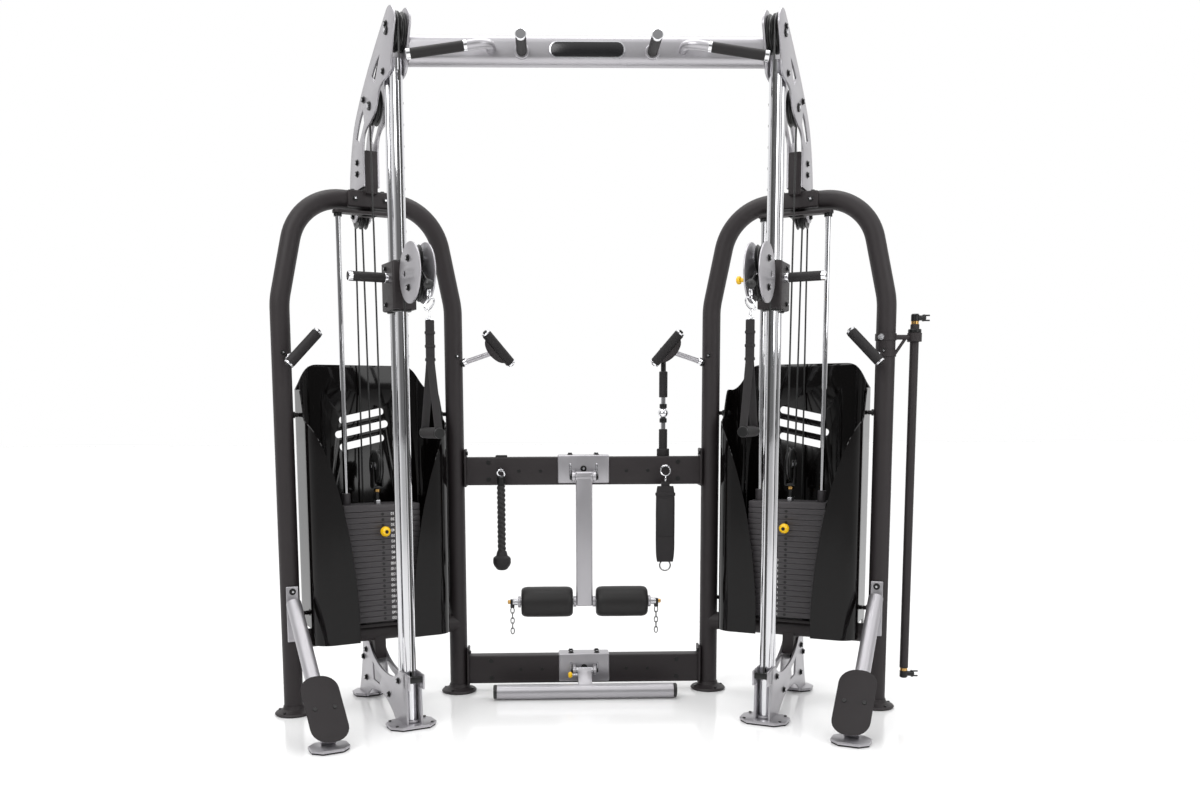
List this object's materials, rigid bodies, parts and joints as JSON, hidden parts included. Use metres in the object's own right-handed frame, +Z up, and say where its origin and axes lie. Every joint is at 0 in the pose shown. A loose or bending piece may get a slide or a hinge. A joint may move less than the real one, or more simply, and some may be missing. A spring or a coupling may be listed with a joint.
{
  "type": "cable crossover machine",
  "caption": "Freestanding cable crossover machine: twin arch towers with weight stacks, sliding pulley carriages on chrome columns, pull-up beam, leg arm, folding foot bar and steps.",
  "frame": {"origin": "under the middle of the machine's bounding box, on the floor, measured without the loose rope", "axes": "+Z up, the front faces -Y, +X to the right as seen from the front"},
  "size_m": [2.1496, 0.7788, 2.1697],
  "materials": {
    "black_powder_coat": "fine-textured powder coat",
    "silver_plate": "satin silver",
    "chrome_tube": "polished",
    "gloss_shroud": "glossy",
    "iron_plate": "satin",
    "yellow_knob": "glossy",
    "black_nylon": "satin",
    "coated_cable": "satin",
    "webbing": "woven",
    "rope_fibre": "braided",
    "rope_cup": "matte",
    "grip_rubber": "matte",
    "roller_foam": "matte"
  },
  "bodies": {
    "frame": {"right_arch_frame": "black_powder_coat", "right_top_plate_outer": "silver_plate", "right_top_plate_inner": "silver_plate", "right_column_base": "silver_plate", "right_column": "chrome_tube", "right_guide_tube": "chrome_tube", "right_guide_rods": "chrome_tube", "right_shroud": "gloss_shroud", "right_weight_plates": "iron_plate", "right_column_cable": "coated_cable", "right_step": "silver_plate", "right_outer_grip": "grip_rubber", "right_inner_grip": "grip_rubber", "left_arch_frame": "black_powder_coat", "left_top_plate_outer": "silver_plate", "left_top_plate_inner": "silver_plate", "left_column_base": "silver_plate", "left_column": "chrome_tube", "left_guide_tube": "chrome_tube", "left_guide_rods": "chrome_tube", "left_shroud": "gloss_shroud", "left_weight_plates": "iron_plate", "left_column_cable": "coated_cable", "left_step": "silver_plate", "left_outer_grip": "grip_rubber", "left_inner_grip": "grip_rubber", "top_beam": "silver_plate", "upper_crossbar": "black_powder_coat", "lower_crossbar": "black_powder_coat", "triceps_rope": "rope_fibre", "rope_end": "rope_cup"},
    "right_lifted_stack": {"right_head_plate": "iron_plate", "right_stack_cable": "coated_cable"},
    "right_selector": {"right_selector_pin": "yellow_knob"},
    "right_travelling_wheel": {"right_floating_pulley": "black_nylon"},
    "right_top_wheels": {"right_top_pulleys": "black_nylon"},
    "right_middle_wheel": {"right_middle_pulley": "black_nylon"},
    "right_arch_wheels": {"right_arch_pulleys": "black_nylon"},
    "right_slider": {"right_carriage": "black_powder_coat"},
    "right_lock_pin": {"right_carriage_pin": "yellow_knob"},
    "right_head": {"right_pulley_head": "silver_plate"},
    "right_handle": {"right_strap_handle": "webbing"},
    "left_lifted_stack": {"left_head_plate": "iron_plate", "left_stack_cable": "coated_cable"},
    "left_selector": {"left_selector_pin": "yellow_knob"},
    "left_travelling_wheel": {"left_floating_pulley": "black_nylon"},
    "left_top_wheels": {"left_top_pulleys": "black_nylon"},
    "left_middle_wheel": {"left_middle_pulley": "black_nylon"},
    "left_arch_wheels": {"left_arch_pulleys": "black_nylon"},
    "left_slider": {"left_carriage": "black_powder_coat"},
    "left_lock_pin": {"left_carriage_pin": "yellow_knob"},
    "left_head": {"left_pulley_head": "silver_plate"},
    "left_handle": {"left_strap_handle": "webbing"},
    "leg_arm": {"leg_arm": "silver_plate"},
    "left_roller": {"left_roller": "roller_foam"},
    "right_roller": {"right_roller": "roller_foam"},
    "foot_bar": {"foot_bar": "silver_plate"},
    "ankle_strap": {"ankle_strap": "webbing"},
    "curl_bar": {"curl_bar": "black_powder_coat"},
    "long_bar": {"long_bar": "black_powder_coat"}
  },
  "joints": [
    {"name": "right_stack_lift", "type": "slide", "parent": "frame", "child": "right_lifted_stack", "axis": [0, 0, 1], "range_m": [0, 0.6], "deforming": ["right_stack_cable"]},
    {"name": "right_selector_pull", "type": "slide", "parent": "right_lifted_stack", "child": "right_selector", "axis": [-0.4462, -0.8949, 0], "range_m": [0, 0.08]},
    {"name": "right_travelling_wheel_spin", "type": "hinge", "parent": "right_lifted_stack", "child": "right_travelling_wheel", "pos_m": [0.65613, 0.16195, 0.812], "axis": [0.8949, -0.4462, 0], "continuous": true},
    {"name": "right_top_wheels_spin", "type": "hinge", "parent": "frame", "child": "right_top_wheels", "pos_m": [0.52673, -0.09758, 2.108], "axis": [0.8949, -0.4462, 0], "continuous": true},
    {"name": "right_middle_wheel_spin", "type": "hinge", "parent": "frame", "child": "right_middle_wheel", "pos_m": [0.61492, 0.05958, 1.938], "axis": [0.8949, -0.4462, 0], "continuous": true},
    {"name": "right_arch_wheels_spin", "type": "hinge", "parent": "frame", "child": "right_arch_wheels", "pos_m": [0.69896, 0.24787, 1.638], "axis": [0.8949, -0.4462, 0], "continuous": true},
    {"name": "right_carriage_slide", "type": "slide", "parent": "frame", "child": "right_slider", "axis": [0, 0, 1], "range_m": [-0.85, 0.45]},
    {"name": "right_lock_pin_pull", "type": "slide", "parent": "right_slider", "child": "right_lock_pin", "axis": [-0.8949, 0.4462, 0], "range_m": [0, 0.01], "stiffness_N_per_m": 800},
    {"name": "right_head_swivel", "type": "hinge", "parent": "right_slider", "child": "right_head", "pos_m": [0.49817, -0.15485, 1.394], "axis": [0.4462, 0.8949, 0], "range_deg": [-80, 80]},
    {"name": "right_handle_swing", "type": "hinge", "parent": "right_head", "child": "right_handle", "pos_m": [0.41875, -0.31415, 1.352], "axis": [-0.8949, 0.4462, 0], "range_deg": [0, 60]},
    {"name": "left_stack_lift", "type": "slide", "parent": "frame", "child": "left_lifted_stack", "axis": [0, 0, 1], "range_m": [0, 0.6], "deforming": ["left_stack_cable"]},
    {"name": "left_selector_pull", "type": "slide", "parent": "left_lifted_stack", "child": "left_selector", "axis": [0.4462, -0.8949, 0], "range_m": [0, 0.08]},
    {"name": "left_travelling_wheel_spin", "type": "hinge", "parent": "left_lifted_stack", "child": "left_travelling_wheel", "pos_m": [-0.73645, 0.16195, 0.812], "axis": [0.8949, 0.4462, 0], "continuous": true},
    {"name": "left_top_wheels_spin", "type": "hinge", "parent": "frame", "child": "left_top_wheels", "pos_m": [-0.60706, -0.09758, 2.108], "axis": [0.8949, 0.4462, 0], "continuous": true},
    {"name": "left_middle_wheel_spin", "type": "hinge", "parent": "frame", "child": "left_middle_wheel", "pos_m": [-0.69525, 0.05958, 1.938], "axis": [0.8949, 0.4462, 0], "continuous": true},
    {"name": "left_arch_wheels_spin", "type": "hinge", "parent": "frame", "child": "left_arch_wheels", "pos_m": [-0.77929, 0.24787, 1.638], "axis": [0.8949, 0.4462, 0], "continuous": true},
    {"name": "left_carriage_slide", "type": "slide", "parent": "frame", "child": "left_slider", "axis": [0, 0, 1], "range_m": [-0.85, 0.45]},
    {"name": "left_lock_pin_pull", "type": "slide", "parent": "left_slider", "child": "left_lock_pin", "axis": [0.8949, 0.4462, 0], "range_m": [0, 0.01], "stiffness_N_per_m": 800},
    {"name": "left_head_swivel", "type": "hinge", "parent": "left_slider", "child": "left_head", "pos_m": [-0.5785, -0.15485, 1.394], "axis": [-0.4462, 0.8949, 0], "range_deg": [-80, 80]},
    {"name": "left_handle_swing", "type": "hinge", "parent": "left_head", "child": "left_handle", "pos_m": [-0.49908, -0.31415, 1.352], "axis": [-0.8949, -0.4462, 0], "range_deg": [0, 60]},
    {"name": "leg_arm_swing", "type": "hinge", "parent": "frame", "child": "leg_arm", "pos_m": [-0.04016, 0.24863, 0.768], "axis": [-1, 0, 0], "range_deg": [0, 100]},
    {"name": "left_roller_spin", "type": "hinge", "parent": "leg_arm", "child": "left_roller", "pos_m": [-0.17016, 0.24863, 0.334], "axis": [1, 0, 0], "continuous": true},
    {"name": "right_roller_spin", "type": "hinge", "parent": "leg_arm", "child": "right_roller", "pos_m": [0.08984, 0.24863, 0.334], "axis": [1, 0, 0], "continuous": true},
    {"name": "foot_bar_fold", "type": "hinge", "parent": "frame", "child": "foot_bar", "pos_m": [-0.04016, 0.25263, 0.086], "axis": [-1, 0, 0], "range_deg": [0, 85]},
    {"name": "ankle_strap_swing", "type": "hinge", "parent": "frame", "child": "ankle_strap", "pos_m": [0.24284, 0.26263, 0.8055], "axis": [-1, 0, 0], "range_deg": [0, 23]},
    {"name": "curl_bar_lift", "type": "slide", "parent": "frame", "child": "curl_bar", "axis": [0, 0, 1], "range_m": [0, 0.03]},
    {"name": "long_bar_lift", "type": "slide", "parent": "frame", "child": "long_bar", "axis": [0, 0, 1], "range_m": [0, 0.15]}
  ]
}
